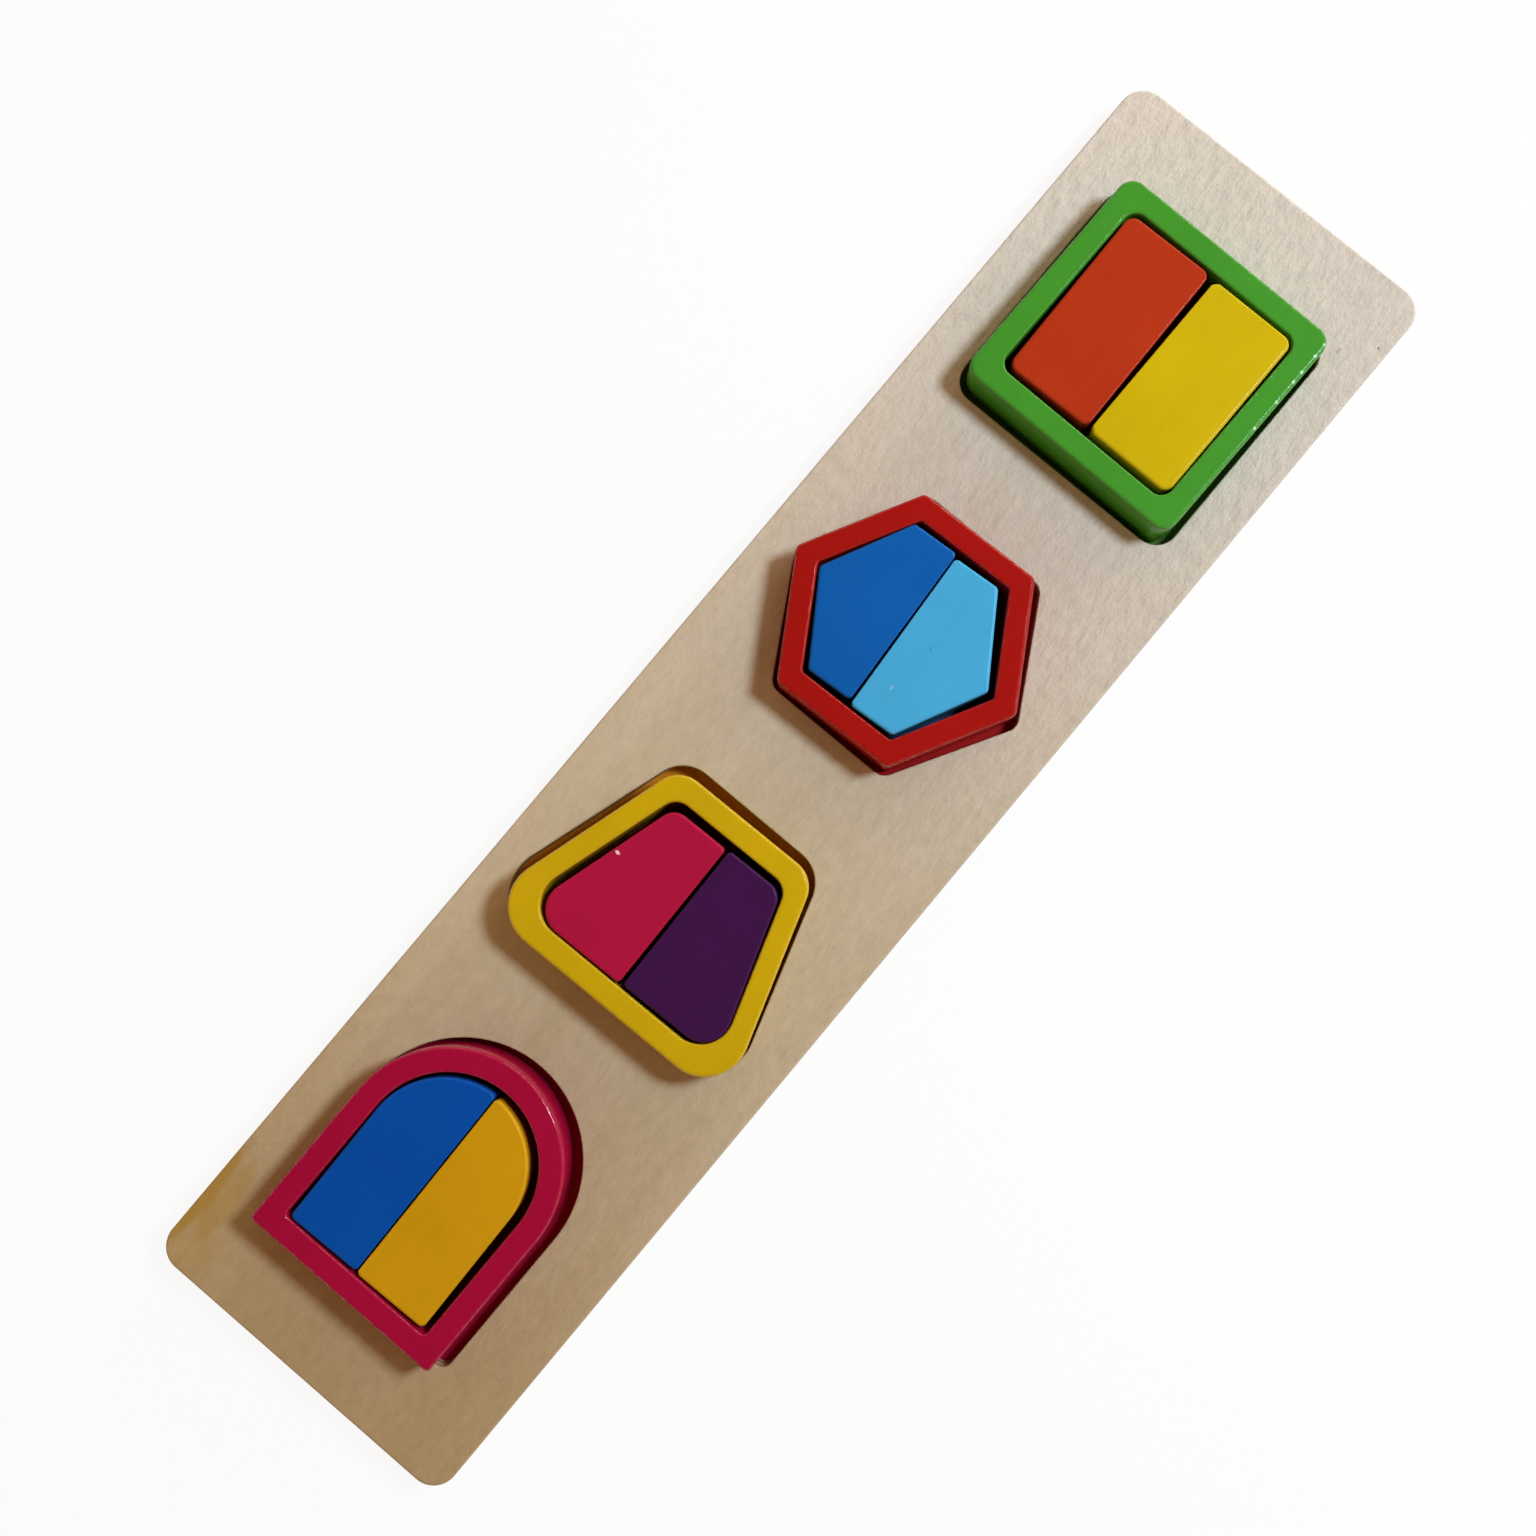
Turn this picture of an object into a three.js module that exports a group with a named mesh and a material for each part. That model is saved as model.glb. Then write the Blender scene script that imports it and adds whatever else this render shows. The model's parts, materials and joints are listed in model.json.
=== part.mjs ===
import * as THREE from 'three';

// Stock thicknesses, in millimetres
const basePanelThickness = 4;
const topPanelThickness = 6;
const paintedStock = 18;

// Plain wood left along the board, from the arch end to the square end
const archEndMargin = 25.1;
const archToTrapezoid = 22.95;
const trapezoidToHexagon = 28.65;
const hexagonToSquare = 26.4;
const squareEndMargin = 25.3;

// Plain wood beside the widest cut-out, and the board's own edges
const sideMargin = 8.53;
const boardCornerRadius = 7;
const boardEdgeRound = 0.8;
const cutoutEdgeEase = 0.4;

// How far each cut-out wanders off the board's long middle line
const archOffCentre = 2.2;
const trapezoidOffCentre = 1.7;
const hexagonOffCentre = 0.95;
const squareOffCentre = -0.7;

// Room round the loose pieces
const frameClearance = 1.6;
const halfClearance = 1.35;
const splitGap = 0.3;

// Walls and edges of the painted pieces
const frameWall = 6.5;
const trapezoidSideWall = 5.9;
const hexagonWall = 6.2;
const paintedEdgeRound = 1.1;
const splitCornerRadius = 1.2;

// Square frame and its halves
const squareLength = 66.5;
const squareWidth = 67.3;
const squareCornerRadius = 4.5;
const squareInnerRadius = 3.6;
const squareHalfRadius = 2.9;
const squareSplitRadius = 2.2;

// Hexagon frame and its halves, with two flats facing the board's ends
const hexagonSides = 6;
const hexagonAcrossFlats = 61.4;
const hexagonCornerRadius = 2.2;
const hexagonInnerRadius = 1.2;
const hexagonHalfRadius = 1.5;

// Trapezoid frame and its halves, with the long base towards the arch
const trapezoidLength = 59.1;
const trapezoidLongBase = 81;
const trapezoidShortBase = 44.2;
const trapezoidSharpRadius = 11.5;
const trapezoidBluntRadius = 8;
const trapezoidInnerSharpRadius = 8.5;
const trapezoidInnerBluntRadius = 5;
const trapezoidHalfSharpRadius = 7.2;
const trapezoidHalfBluntRadius = 4.8;

// Arch frame and its halves, with the round end towards the trapezoid
const archLength = 71.8;
const archWidth = 59.3;
const archCornerRadius = 1.3;
const archHalfRadius = 1.5;

// Fineness of curves: the furthest a facet strays from a true arc, and facets over a rounded edge
const arcSag = 0.05;
const edgeSteps = 3;
const samePoint = 1e-6;

// How each loose piece lies, as shares of its clearance: along X, along Y, and turned
const squareFrameLie = { x: 0.26, y: 0.04, turn: -0.35 };
const hexagonFrameLie = { x: -0.2, y: 0.33, turn: 0.64 };
const trapezoidFrameLie = { x: -0.62, y: -0.67, turn: 0.35 };
const archFrameLie = { x: -0.41, y: 0.9, turn: 0 };
const orangeHalfLie = { x: 0.44, y: 0.18, turn: 0.69 };
const yellowHalfLie = { x: 0.2, y: -0.68, turn: 0.22 };
const darkBlueHalfLie = { x: 0.22, y: 0.62, turn: 0.66 };
const lightBlueHalfLie = { x: -0.54, y: 0.4, turn: 0.8 };
const crimsonHalfLie = { x: -0.65, y: -0.33, turn: 0.13 };
const purpleHalfLie = { x: -0.4, y: -0.84, turn: 0.26 };
const blueHalfLie = { x: -0.38, y: 0.65, turn: 0.53 };
const amberHalfLie = { x: -0.6, y: 0.57, turn: 0.54 };

// Finish
const birch = '#cbb894';
const birchBack = '#b99b70';
const woodRoughness = 0.75;
const paintRoughness = 0.42;

const quarterTurn = Math.PI / 2;

// Outward normal angle of the edge from one corner to the next, corners running anticlockwise
function normalAngle(corner, next) {
  return Math.atan2(corner.x - next.x, next.y - corner.y);
}

// Polygon with each edge moved inwards by its own depth
function insetPolygon(polygon, depths) {
  const count = polygon.length;
  return polygon.map((corner, i) => {
    const before = (i + count - 1) % count;
    const a = normalAngle(polygon[before], corner);
    const b = normalAngle(corner, polygon[(i + 1) % count]);
    const span = Math.sin(b - a);
    return {
      x: corner.x - (depths[before] * Math.sin(b) - depths[i] * Math.sin(a)) / span,
      y: corner.y - (depths[i] * Math.cos(a) - depths[before] * Math.cos(b)) / span,
      r: corner.r,
    };
  });
}

function withRadii(polygon, radii) {
  return polygon.map((corner, i) => ({ x: corner.x, y: corner.y, r: radii[i] }));
}

// Part of a polygon above a level line, with its own radius at the two corners on that line
function upperPart(polygon, level, radius) {
  const kept = [];
  polygon.forEach((corner, i) => {
    const next = polygon[(i + 1) % polygon.length];
    if (corner.y > level) kept.push(corner);
    if (corner.y > level !== next.y > level) {
      const share = (level - corner.y) / (next.y - corner.y);
      kept.push({ x: corner.x + share * (next.x - corner.x), y: level, r: radius });
    }
  });
  return kept;
}

// Rounded outline of a polygon: one arc for each corner, joined by straight edges
function polygonArcs(polygon) {
  const count = polygon.length;
  return polygon.map((corner, i) => {
    const from = normalAngle(polygon[(i + count - 1) % count], corner);
    let to = normalAngle(corner, polygon[(i + 1) % count]);
    while (to < from) to += 2 * Math.PI;
    const middle = (from + to) / 2;
    const back = corner.r / Math.cos((to - from) / 2);
    return {
      x: corner.x - back * Math.cos(middle),
      y: corner.y - back * Math.sin(middle),
      r: corner.r,
      from,
      to,
    };
  });
}

// Arch outline: square base at -X, round end at +X, base and end given from the outline's own origin
function archArcs(base, halfWidth, end, cornerRadius) {
  const low = { x: base + cornerRadius, y: cornerRadius - halfWidth, r: cornerRadius };
  const round = { x: end - halfWidth, y: 0, r: halfWidth };
  const high = { x: base + cornerRadius, y: halfWidth - cornerRadius, r: cornerRadius };
  return [
    { ...low, from: -2 * quarterTurn, to: -quarterTurn },
    { ...round, from: -quarterTurn, to: quarterTurn },
    { ...high, from: quarterTurn, to: 2 * quarterTurn },
  ];
}

// Upper half of an arch, its split edge meeting the round end in a small fillet
function archHalfArcs(base, halfWidth, end, level, cornerRadius, splitRadius) {
  const roundX = end - halfWidth;
  const filletY = level + splitRadius;
  const filletX = roundX + Math.sqrt((halfWidth - splitRadius) ** 2 - filletY ** 2);
  const meet = Math.atan2(filletY, filletX - roundX);
  const low = { x: base + splitRadius, y: filletY, r: splitRadius };
  const fillet = { x: filletX, y: filletY, r: splitRadius };
  const round = { x: roundX, y: 0, r: halfWidth };
  const high = { x: base + cornerRadius, y: halfWidth - cornerRadius, r: cornerRadius };
  return [
    { ...low, from: -2 * quarterTurn, to: -quarterTurn },
    { ...fillet, from: -quarterTurn, to: meet },
    { ...round, from: meet, to: quarterTurn },
    { ...high, from: quarterTurn, to: 2 * quarterTurn },
  ];
}

// Outline moved outwards all round
function grown(arcs, distance) {
  return arcs.map((arc) => ({ ...arc, r: arc.r + distance }));
}

// Outline mirrored from the +Y side to the -Y side
function mirrored(arcs) {
  return arcs.map((arc) => ({ ...arc, y: -arc.y, from: -arc.to, to: -arc.from })).reverse();
}

// Outline turned about its origin and then moved
function placed(arcs, x, y, turn) {
  const cos = Math.cos(turn);
  const sin = Math.sin(turn);
  return arcs.map((arc) => ({
    x: x + arc.x * cos - arc.y * sin,
    y: y + arc.x * sin + arc.y * cos,
    r: arc.r,
    from: arc.from + turn,
    to: arc.to + turn,
  }));
}

// Points along an outline moved outwards by grow, as many for every value of grow
function outlinePoints(arcs, grow) {
  const points = arcs.flatMap((arc) => {
    const sag = Math.min(arcSag, arc.r / 2);
    const stepAngle = 2 * Math.acos(1 - sag / arc.r);
    const steps = Math.max(1, Math.ceil((arc.to - arc.from) / stepAngle));
    return Array.from({ length: steps + 1 }, (_, i) => {
      const angle = arc.from + ((arc.to - arc.from) * i) / steps;
      const radius = arc.r + grow;
      return new THREE.Vector2(arc.x + radius * Math.cos(angle), arc.y + radius * Math.sin(angle));
    });
  });
  return points.filter((point, i) => point.distanceTo(points[(i + 1) % points.length]) > samePoint);
}

// Furthest distance of an outline from its own origin
function reach(arcs) {
  return Math.max(...outlinePoints(arcs, 0).map((point) => point.length()));
}

// Furthest distance of an outline along Y
function reachAcross(arcs) {
  return Math.max(...outlinePoints(arcs, 0).map((point) => Math.abs(point.y)));
}

// Closed solid through level rings; a ring gives its height and how far the edge and the hole edges draw back
function loft(outline, holes, rings) {
  const loopsAt = (ring) => [
    outlinePoints(outline, -ring.edge),
    ...holes.map((hole) => outlinePoints(hole, ring.holeEdge)),
  ];
  const positions = [];
  rings.forEach((ring) => {
    loopsAt(ring).forEach((loop) => loop.forEach((point) => positions.push(point.x, point.y, ring.z)));
  });
  const perRing = positions.length / 3 / rings.length;
  const faces = [];

  // Walls between neighbouring rings
  for (let level = 0; level + 1 < rings.length; level += 1) {
    let start = level * perRing;
    loopsAt(rings[level]).forEach((loop, which) => {
      loop.forEach((_, i) => {
        const a = start + i;
        const b = start + ((i + 1) % loop.length);
        const quad = [a, b, b + perRing, a, b + perRing, a + perRing];
        faces.push(...(which === 0 ? quad : quad.reverse()));
      });
      start += loop.length;
    });
  }

  // Flat faces below and above
  const cap = (ring, start, upwards) => {
    const [contour, ...inner] = loopsAt(ring);
    const points = [contour, ...inner].flat();
    THREE.ShapeUtils.triangulateShape(contour, inner).forEach(([a, b, c]) => {
      const ab = points[b].clone().sub(points[a]);
      const ac = points[c].clone().sub(points[a]);
      const facesUp = ab.cross(ac) > 0;
      faces.push(start + a, ...(facesUp === upwards ? [start + b, start + c] : [start + c, start + b]));
    });
  };
  cap(rings[0], 0, false);
  cap(rings[rings.length - 1], (rings.length - 1) * perRing, true);

  const geometry = new THREE.BufferGeometry();
  geometry.setAttribute('position', new THREE.Float32BufferAttribute(positions, 3));
  geometry.setIndex(faces);
  geometry.computeVertexNormals();
  return geometry;
}

// Rings of a piece whose bottom and top edges are rounded by their own radii
function roundedRings(bottom, top, bottomRound, topRound) {
  const angles = Array.from({ length: edgeSteps + 1 }, (_, i) => (quarterTurn * i) / edgeSteps);
  const lower = angles.map((angle) => ({
    z: bottom + bottomRound * (1 - Math.cos(angle)),
    edge: bottomRound * (1 - Math.sin(angle)),
    holeEdge: bottomRound * (1 - Math.sin(angle)),
  }));
  const upper = angles.map((angle) => ({
    z: top - topRound * (1 - Math.sin(angle)),
    edge: topRound * (1 - Math.cos(angle)),
    holeEdge: topRound * (1 - Math.cos(angle)),
  }));
  return [...lower, ...upper];
}

const board = new THREE.Group();
board.name = 'colour_matching_board';

function addPiece(name, geometry, colour, roughness) {
  const material = new THREE.MeshStandardMaterial({ color: colour, roughness, metalness: 0 });
  const mesh = new THREE.Mesh(geometry, material);
  mesh.name = name;
  board.add(mesh);
}

// Square: outside, opening and upper half
const squareCorners = [
  { x: squareLength / 2, y: squareWidth / 2, r: squareCornerRadius },
  { x: -squareLength / 2, y: squareWidth / 2, r: squareCornerRadius },
  { x: -squareLength / 2, y: -squareWidth / 2, r: squareCornerRadius },
  { x: squareLength / 2, y: -squareWidth / 2, r: squareCornerRadius },
];
const squareOpening = withRadii(
  insetPolygon(squareCorners, Array(4).fill(frameWall)),
  Array(4).fill(squareInnerRadius),
);
const squareHalf = upperPart(
  withRadii(insetPolygon(squareOpening, Array(4).fill(halfClearance)), Array(4).fill(squareHalfRadius)),
  splitGap / 2,
  squareSplitRadius,
);

// Hexagon: outside, opening and upper half
const hexagonCircle = hexagonAcrossFlats / Math.sqrt(3);
const hexagonCorners = Array.from({ length: hexagonSides }, (_, i) => {
  const angle = ((2 * i + 1) * Math.PI) / hexagonSides;
  return { x: hexagonCircle * Math.cos(angle), y: hexagonCircle * Math.sin(angle), r: hexagonCornerRadius };
});
const hexagonOpening = withRadii(
  insetPolygon(hexagonCorners, Array(hexagonSides).fill(hexagonWall)),
  Array(hexagonSides).fill(hexagonInnerRadius),
);
const hexagonHalf = upperPart(
  withRadii(
    insetPolygon(hexagonOpening, Array(hexagonSides).fill(halfClearance)),
    Array(hexagonSides).fill(hexagonHalfRadius),
  ),
  splitGap / 2,
  splitCornerRadius,
);

// Trapezoid: outside, opening and upper half
const trapezoidCorners = [
  { x: trapezoidLength / 2, y: trapezoidShortBase / 2, r: trapezoidBluntRadius },
  { x: -trapezoidLength / 2, y: trapezoidLongBase / 2, r: trapezoidSharpRadius },
  { x: -trapezoidLength / 2, y: -trapezoidLongBase / 2, r: trapezoidSharpRadius },
  { x: trapezoidLength / 2, y: -trapezoidShortBase / 2, r: trapezoidBluntRadius },
];
const trapezoidOpening = withRadii(
  insetPolygon(trapezoidCorners, [trapezoidSideWall, frameWall, trapezoidSideWall, frameWall]),
  [trapezoidInnerBluntRadius, trapezoidInnerSharpRadius, trapezoidInnerSharpRadius, trapezoidInnerBluntRadius],
);
const trapezoidHalf = upperPart(
  withRadii(
    insetPolygon(trapezoidOpening, Array(4).fill(halfClearance)),
    [trapezoidHalfBluntRadius, trapezoidHalfSharpRadius, trapezoidHalfSharpRadius, trapezoidHalfBluntRadius],
  ),
  splitGap / 2,
  splitCornerRadius,
);

// Arch: outside, opening and upper half
const archBase = -archLength / 2;
const archEnd = archLength / 2;
const archOutside = archArcs(archBase, archWidth / 2, archEnd, archCornerRadius);
const archOpening = archArcs(
  archBase + frameWall,
  archWidth / 2 - frameWall,
  archEnd - frameWall,
  archCornerRadius,
);
const archHalf = archHalfArcs(
  archBase + frameWall + halfClearance,
  archWidth / 2 - frameWall - halfClearance,
  archEnd - frameWall - halfClearance,
  splitGap / 2,
  archHalfRadius,
  splitCornerRadius,
);

// The four stations, from the arch end of the board to the square end
const stations = [
  {
    gapBefore: archEndMargin,
    length: archLength,
    offCentre: archOffCentre,
    outside: archOutside,
    opening: archOpening,
    half: archHalf,
    frame: { name: 'magenta_arch_frame', colour: '#9b1134', lie: archFrameLie },
    upper: { name: 'blue_arch_half', colour: '#0b4492', lie: blueHalfLie },
    lower: { name: 'amber_arch_half', colour: '#bc880f', lie: amberHalfLie },
  },
  {
    gapBefore: archToTrapezoid,
    length: trapezoidLength,
    offCentre: trapezoidOffCentre,
    outside: polygonArcs(trapezoidCorners),
    opening: polygonArcs(trapezoidOpening),
    half: polygonArcs(trapezoidHalf),
    frame: { name: 'yellow_trapezoid_frame', colour: '#c3a10f', lie: trapezoidFrameLie },
    upper: { name: 'crimson_trapezoid_half', colour: '#a6163c', lie: crimsonHalfLie },
    lower: { name: 'purple_trapezoid_half', colour: '#3b1543', lie: purpleHalfLie },
  },
  {
    gapBefore: trapezoidToHexagon,
    length: hexagonAcrossFlats,
    offCentre: hexagonOffCentre,
    outside: polygonArcs(hexagonCorners),
    opening: polygonArcs(hexagonOpening),
    half: polygonArcs(hexagonHalf),
    frame: { name: 'red_hexagon_frame', colour: '#a01511', lie: hexagonFrameLie },
    upper: { name: 'dark_blue_hexagon_half', colour: '#115aa8', lie: darkBlueHalfLie },
    lower: { name: 'light_blue_hexagon_half', colour: '#46a5d3', lie: lightBlueHalfLie },
  },
  {
    gapBefore: hexagonToSquare,
    length: squareLength,
    offCentre: squareOffCentre,
    outside: polygonArcs(squareCorners),
    opening: polygonArcs(squareOpening),
    half: polygonArcs(squareHalf),
    frame: { name: 'green_square_frame', colour: '#489632', lie: squareFrameLie },
    upper: { name: 'orange_square_half', colour: '#b6371a', lie: orangeHalfLie },
    lower: { name: 'yellow_square_half', colour: '#cdb211', lie: yellowHalfLie },
  },
];

// Board outline: long enough for the row of cut-outs, wide enough for the widest one
const cutoutLengths = stations.map((station) => station.length + 2 * frameClearance);
const boardLength = stations.reduce(
  (sum, station, i) => sum + station.gapBefore + cutoutLengths[i],
  squareEndMargin,
);
const cutoutReaches = stations.map(
  (station) => reachAcross(grown(station.outside, frameClearance)) + Math.abs(station.offCentre),
);
const boardHalfWidth = Math.max(...cutoutReaches) + sideMargin;
const boardOutline = polygonArcs([
  { x: boardLength / 2, y: boardHalfWidth, r: boardCornerRadius },
  { x: -boardLength / 2, y: boardHalfWidth, r: boardCornerRadius },
  { x: -boardLength / 2, y: -boardHalfWidth, r: boardCornerRadius },
  { x: boardLength / 2, y: -boardHalfWidth, r: boardCornerRadius },
]);

// Place of each cut-out along the board
let reached = -boardLength / 2;
stations.forEach((station, i) => {
  station.x = reached + station.gapBefore + cutoutLengths[i] / 2;
  reached += station.gapBefore + cutoutLengths[i];
});

// Base panel, with its underside edge rounded
const floorLevel = basePanelThickness;
const deckLevel = basePanelThickness + topPanelThickness;
const baseRings = roundedRings(0, floorLevel, boardEdgeRound, boardEdgeRound).slice(0, edgeSteps + 1);
baseRings.push({ z: floorLevel, edge: 0, holeEdge: 0 });
addPiece('base_panel', loft(boardOutline, [], baseRings), birchBack, woodRoughness);

// Top panel, with its upper edge rounded and the cut-out edges eased
const deckRings = roundedRings(floorLevel, deckLevel, boardEdgeRound, boardEdgeRound).slice(edgeSteps + 1);
deckRings.forEach((ring) => {
  ring.holeEdge = Math.max(0, cutoutEdgeEase - (deckLevel - ring.z));
});
deckRings.unshift({ z: floorLevel, edge: 0, holeEdge: 0 });
const cutouts = stations.map((station) =>
  placed(grown(station.outside, frameClearance), station.x, station.offCentre, 0),
);
addPiece('top_panel', loft(boardOutline, cutouts, deckRings), birch, woodRoughness);

// Painted frames and halves, standing on the base panel
const paintedRings = roundedRings(floorLevel, floorLevel + paintedStock, paintedEdgeRound, paintedEdgeRound);
stations.forEach((station) => {
  const frame = station.frame;
  const frameTurn = (frame.lie.turn * frameClearance) / reach(station.outside);
  const frameX = station.x + frame.lie.x * frameClearance;
  const frameY = station.offCentre + frame.lie.y * frameClearance;
  const inFrame = (arcs) => placed(arcs, frameX, frameY, frameTurn);
  const ring = loft(inFrame(station.outside), [inFrame(station.opening)], paintedRings);
  addPiece(frame.name, ring, frame.colour, paintRoughness);

  const halves = [
    { ...station.upper, arcs: station.half },
    { ...station.lower, arcs: mirrored(station.half) },
  ];
  halves.forEach((half) => {
    const turn = (half.lie.turn * halfClearance) / reach(half.arcs);
    const lying = placed(half.arcs, half.lie.x * halfClearance, half.lie.y * halfClearance, turn);
    addPiece(half.name, loft(inFrame(lying), [], paintedRings), half.colour, paintRoughness);
  });
});

export default board;
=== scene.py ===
"""A colour matching board: a birch board with four recesses, each with a painted frame and two halves."""

import json
import math

import bmesh
import bpy
from bpy.props import FloatProperty, FloatVectorProperty, PointerProperty
from bpy.types import NodeSocket, Operator, Panel, PropertyGroup
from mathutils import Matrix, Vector, noise


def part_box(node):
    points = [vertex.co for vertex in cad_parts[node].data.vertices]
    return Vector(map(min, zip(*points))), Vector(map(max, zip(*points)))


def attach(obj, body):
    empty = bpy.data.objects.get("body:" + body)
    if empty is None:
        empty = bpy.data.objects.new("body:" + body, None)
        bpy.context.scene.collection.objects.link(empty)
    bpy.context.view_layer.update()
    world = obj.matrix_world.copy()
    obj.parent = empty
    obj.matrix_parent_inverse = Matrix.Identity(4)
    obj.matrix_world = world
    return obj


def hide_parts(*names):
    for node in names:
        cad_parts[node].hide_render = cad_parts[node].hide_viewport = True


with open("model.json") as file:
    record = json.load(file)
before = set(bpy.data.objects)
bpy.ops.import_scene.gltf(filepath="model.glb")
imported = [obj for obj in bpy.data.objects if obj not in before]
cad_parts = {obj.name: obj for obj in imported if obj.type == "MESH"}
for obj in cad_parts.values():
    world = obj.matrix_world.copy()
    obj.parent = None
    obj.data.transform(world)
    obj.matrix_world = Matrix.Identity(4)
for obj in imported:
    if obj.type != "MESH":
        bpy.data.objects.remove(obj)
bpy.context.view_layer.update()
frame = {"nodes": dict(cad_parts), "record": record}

bl_info = {
    "name": "Colour Matching Board",
    "version": (1, 0, 0),
    "blender": (4, 5, 0),
    "location": "View3D > Sidebar > Matching Board",
    "description": "Builds a wooden colour matching board with its painted frames and halves",
    "category": "Object",
}

MM = 0.001

# The pieces, by the names of their CAD nodes
DECK = "top_panel"
BACK = "base_panel"
# In each recess lie a frame, the half on its +Y side and the half on its -Y side
RECESSES = (
    ("green_square_frame", "orange_square_half", "yellow_square_half"),
    ("red_hexagon_frame", "dark_blue_hexagon_half", "light_blue_hexagon_half"),
    ("yellow_trapezoid_frame", "crimson_trapezoid_half", "purple_trapezoid_half"),
    ("magenta_arch_frame", "blue_arch_half", "amber_arch_half"),
)
FRAMES, UPPER_HALVES, LOWER_HALVES = zip(*RECESSES)

# Reading an outline off a CAD wall: the tilt and the step that count as none, the digits that tell points
# apart, and the shortest side that isn't a chord of an arc
UPRIGHT = 0.001
SAME_LEVEL = 1e-6
KEY_DIGITS = 8
SHORTEST_STRAIGHT = 4.5 * MM

# Fineness of the outlines and of the rounded edges
PAINTED_STEP = 1.0 * MM
BOARD_STEP = 1.6 * MM
ARC_CUTS = 4
ROUND_STEPS = 7
FLAT_RIM = 0.1 * MM
GLUE_LINE = 0.14 * MM

# The sawn sides of the halves are rounded to this share of the full radius. A wall comes to count as sawn
# between these cosines of the angle between its wood and the way into the half from the cut
SAWN_SHARE = 0.4
SAWN_FROM = 0.85
SAWN_TO = 0.99
NOT_SAWN = Vector((0, 0))

# Hand sanding: how far an edge's radius strays and over what length, and the depth and length of ripples
SANDING_SPREAD = 0.08
SANDING_LENGTH = 9.0 * MM
RIPPLE_DEPTH = 0.03 * MM
RIPPLE_LENGTH = 3.2 * MM

# Painted glints: pale spots painted along the outer edge of the green frame where highlights show, in
# millimetres
PAINTED_GLINTS_ALONG = (142.3, 151.0, 157.8, 161.1, 166.5, 170.3)
PAINTED_GLINTS_ACROSS = -33.7
PAINTED_GLINT_REACH = (0.5, 0.4)
PAINTED_GLINT_STRENGTH = 0.7

# Marks on the pieces: place, reach along and across the board, both in millimetres, strength and colour
PAINT_MARKS = {
    # The green frame's marks are painted glints, pale spots that stand in for highlights
    "green_paint": tuple(
        ((along, PAINTED_GLINTS_ACROSS), PAINTED_GLINT_REACH, PAINTED_GLINT_STRENGTH, "bead") for along in PAINTED_GLINTS_ALONG
    ),
    "crimson_paint": (((-44.2, 21.3), (0.42, 0.7), 0.9, "chip"),),
    "light_blue_paint": (
        ((32.3, -5.1), (0.7, 0.35), 0.22, "chip"),
        ((46.3, -6.4), (0.5, 0.3), 0.35, "grime"),
    ),
}
DECK_MARKS = (
    ((176.3, -37.9), (1.0, 0.4), 0.4, "knot"),
    ((183.4, -45.4), (0.45, 0.35), 0.7, "knot"),
    ((-179.0, 47.4), (16.0, 2.8), 0.85, "stain"),
    ((-178.5, 42.0), (12.0, 3.6), 0.5, "stain"),
    ((-193.0, 42.0), (9.0, 8.0), 0.25, "stain"),
)

# How strongly dried paint stands in beads along the edges, how much rougher it is there, and how it glints
FRAME_EDGES = {"Beads": 1.4, "Haze": 0.04, "Glint": 0.6}
HALF_EDGES = {"Beads": 0.2, "Haze": 0.1, "Glint": 0.05}
GLINT_ROUGHNESS = 0.1

# Clouds of noise: cycles per millimetre along, across and up, layers of detail and their roughness
PATCHES = ((0.045, 0.045, 0.045), 3.0, 0.5)
PEEL = ((0.55, 0.55, 0.55), 2.0, 0.5)
HIDDEN_GRAIN = ((0.035, 0.7, 0.3), 3.0, 0.6)
NICKS = ((0.5, 0.5, 0.5), 4.0, 0.65)
BEADING = ((0.8, 0.8, 0.8), 2.0, 0.6)
DROPS = ((0.9, 0.9, 0.9), 3.0, 0.6)
PLY_WAVES = ((0.03, 0.03, 0.0), 2.0, 0.5)
PLY_FIBRES = ((0.5, 0.5, 2.2), 3.0, 0.65)
BANDS = ((0.008, 0.09, 0.09), 3.0, 0.5)
FIBRES = ((0.15, 0.9, 0.9), 3.0, 0.55)
FLECKS = ((0.3, 0.45, 0.45), 4.0, 0.62)
PORES = ((0.22, 2.4, 2.4), 2.0, 0.5)
FLUFF = ((0.2, 0.38, 0.38), 4.0, 0.62)
FLOOR_CLOUDS = ((0.004, 0.004, 0.004), 2.0, 0.5)
# The same for the rim of a mark, in cycles per reach
RAGGED_RIM = ((0.9, 0.9, 0.9), 3.0, 0.5)

# How far a normal points up or down on a flat and on a wall, from not at all so to fully so
FLAT_RANGE = (0.9, 0.995)
WALL_RANGE = (0.3, 0.05)

# Marks: how far the rim strays, and the shares of the reach between which a mark comes in
RIM_STRAY = (0.45, 1.55)
RIM_FADE = (1.25, 0.65)

# Paint: what its clouds do to the shade, the wear, the roughness, the glints and the height
PATCH_SHADE = (0.9, 1.1)
GRAIN_SHADE = (-0.05, 0.05)
THIN_SHARE = (0.0, 0.5)
NICK_FADE = (0.66, 0.72)
PEEL_ROUGHNESS = (-0.06, 0.06)
DROP_FADE = (0.4, 0.62)
GRAIN_HEIGHT = 0.18
PEEL_HEIGHT = 0.12
NICK_DEPTH = 0.5
PAINT_RELIEF = 0.1 * MM

# Plywood: how far its layers wander in millimetres, how sharply they change, and what their fibres do
LAYER_WANDER = (-0.25, 0.25)
LAYER_FADE = (-0.25, 0.25)
FIBRE_TINT = (0.0, 0.5)
DARK_HEIGHT = 0.4
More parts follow.
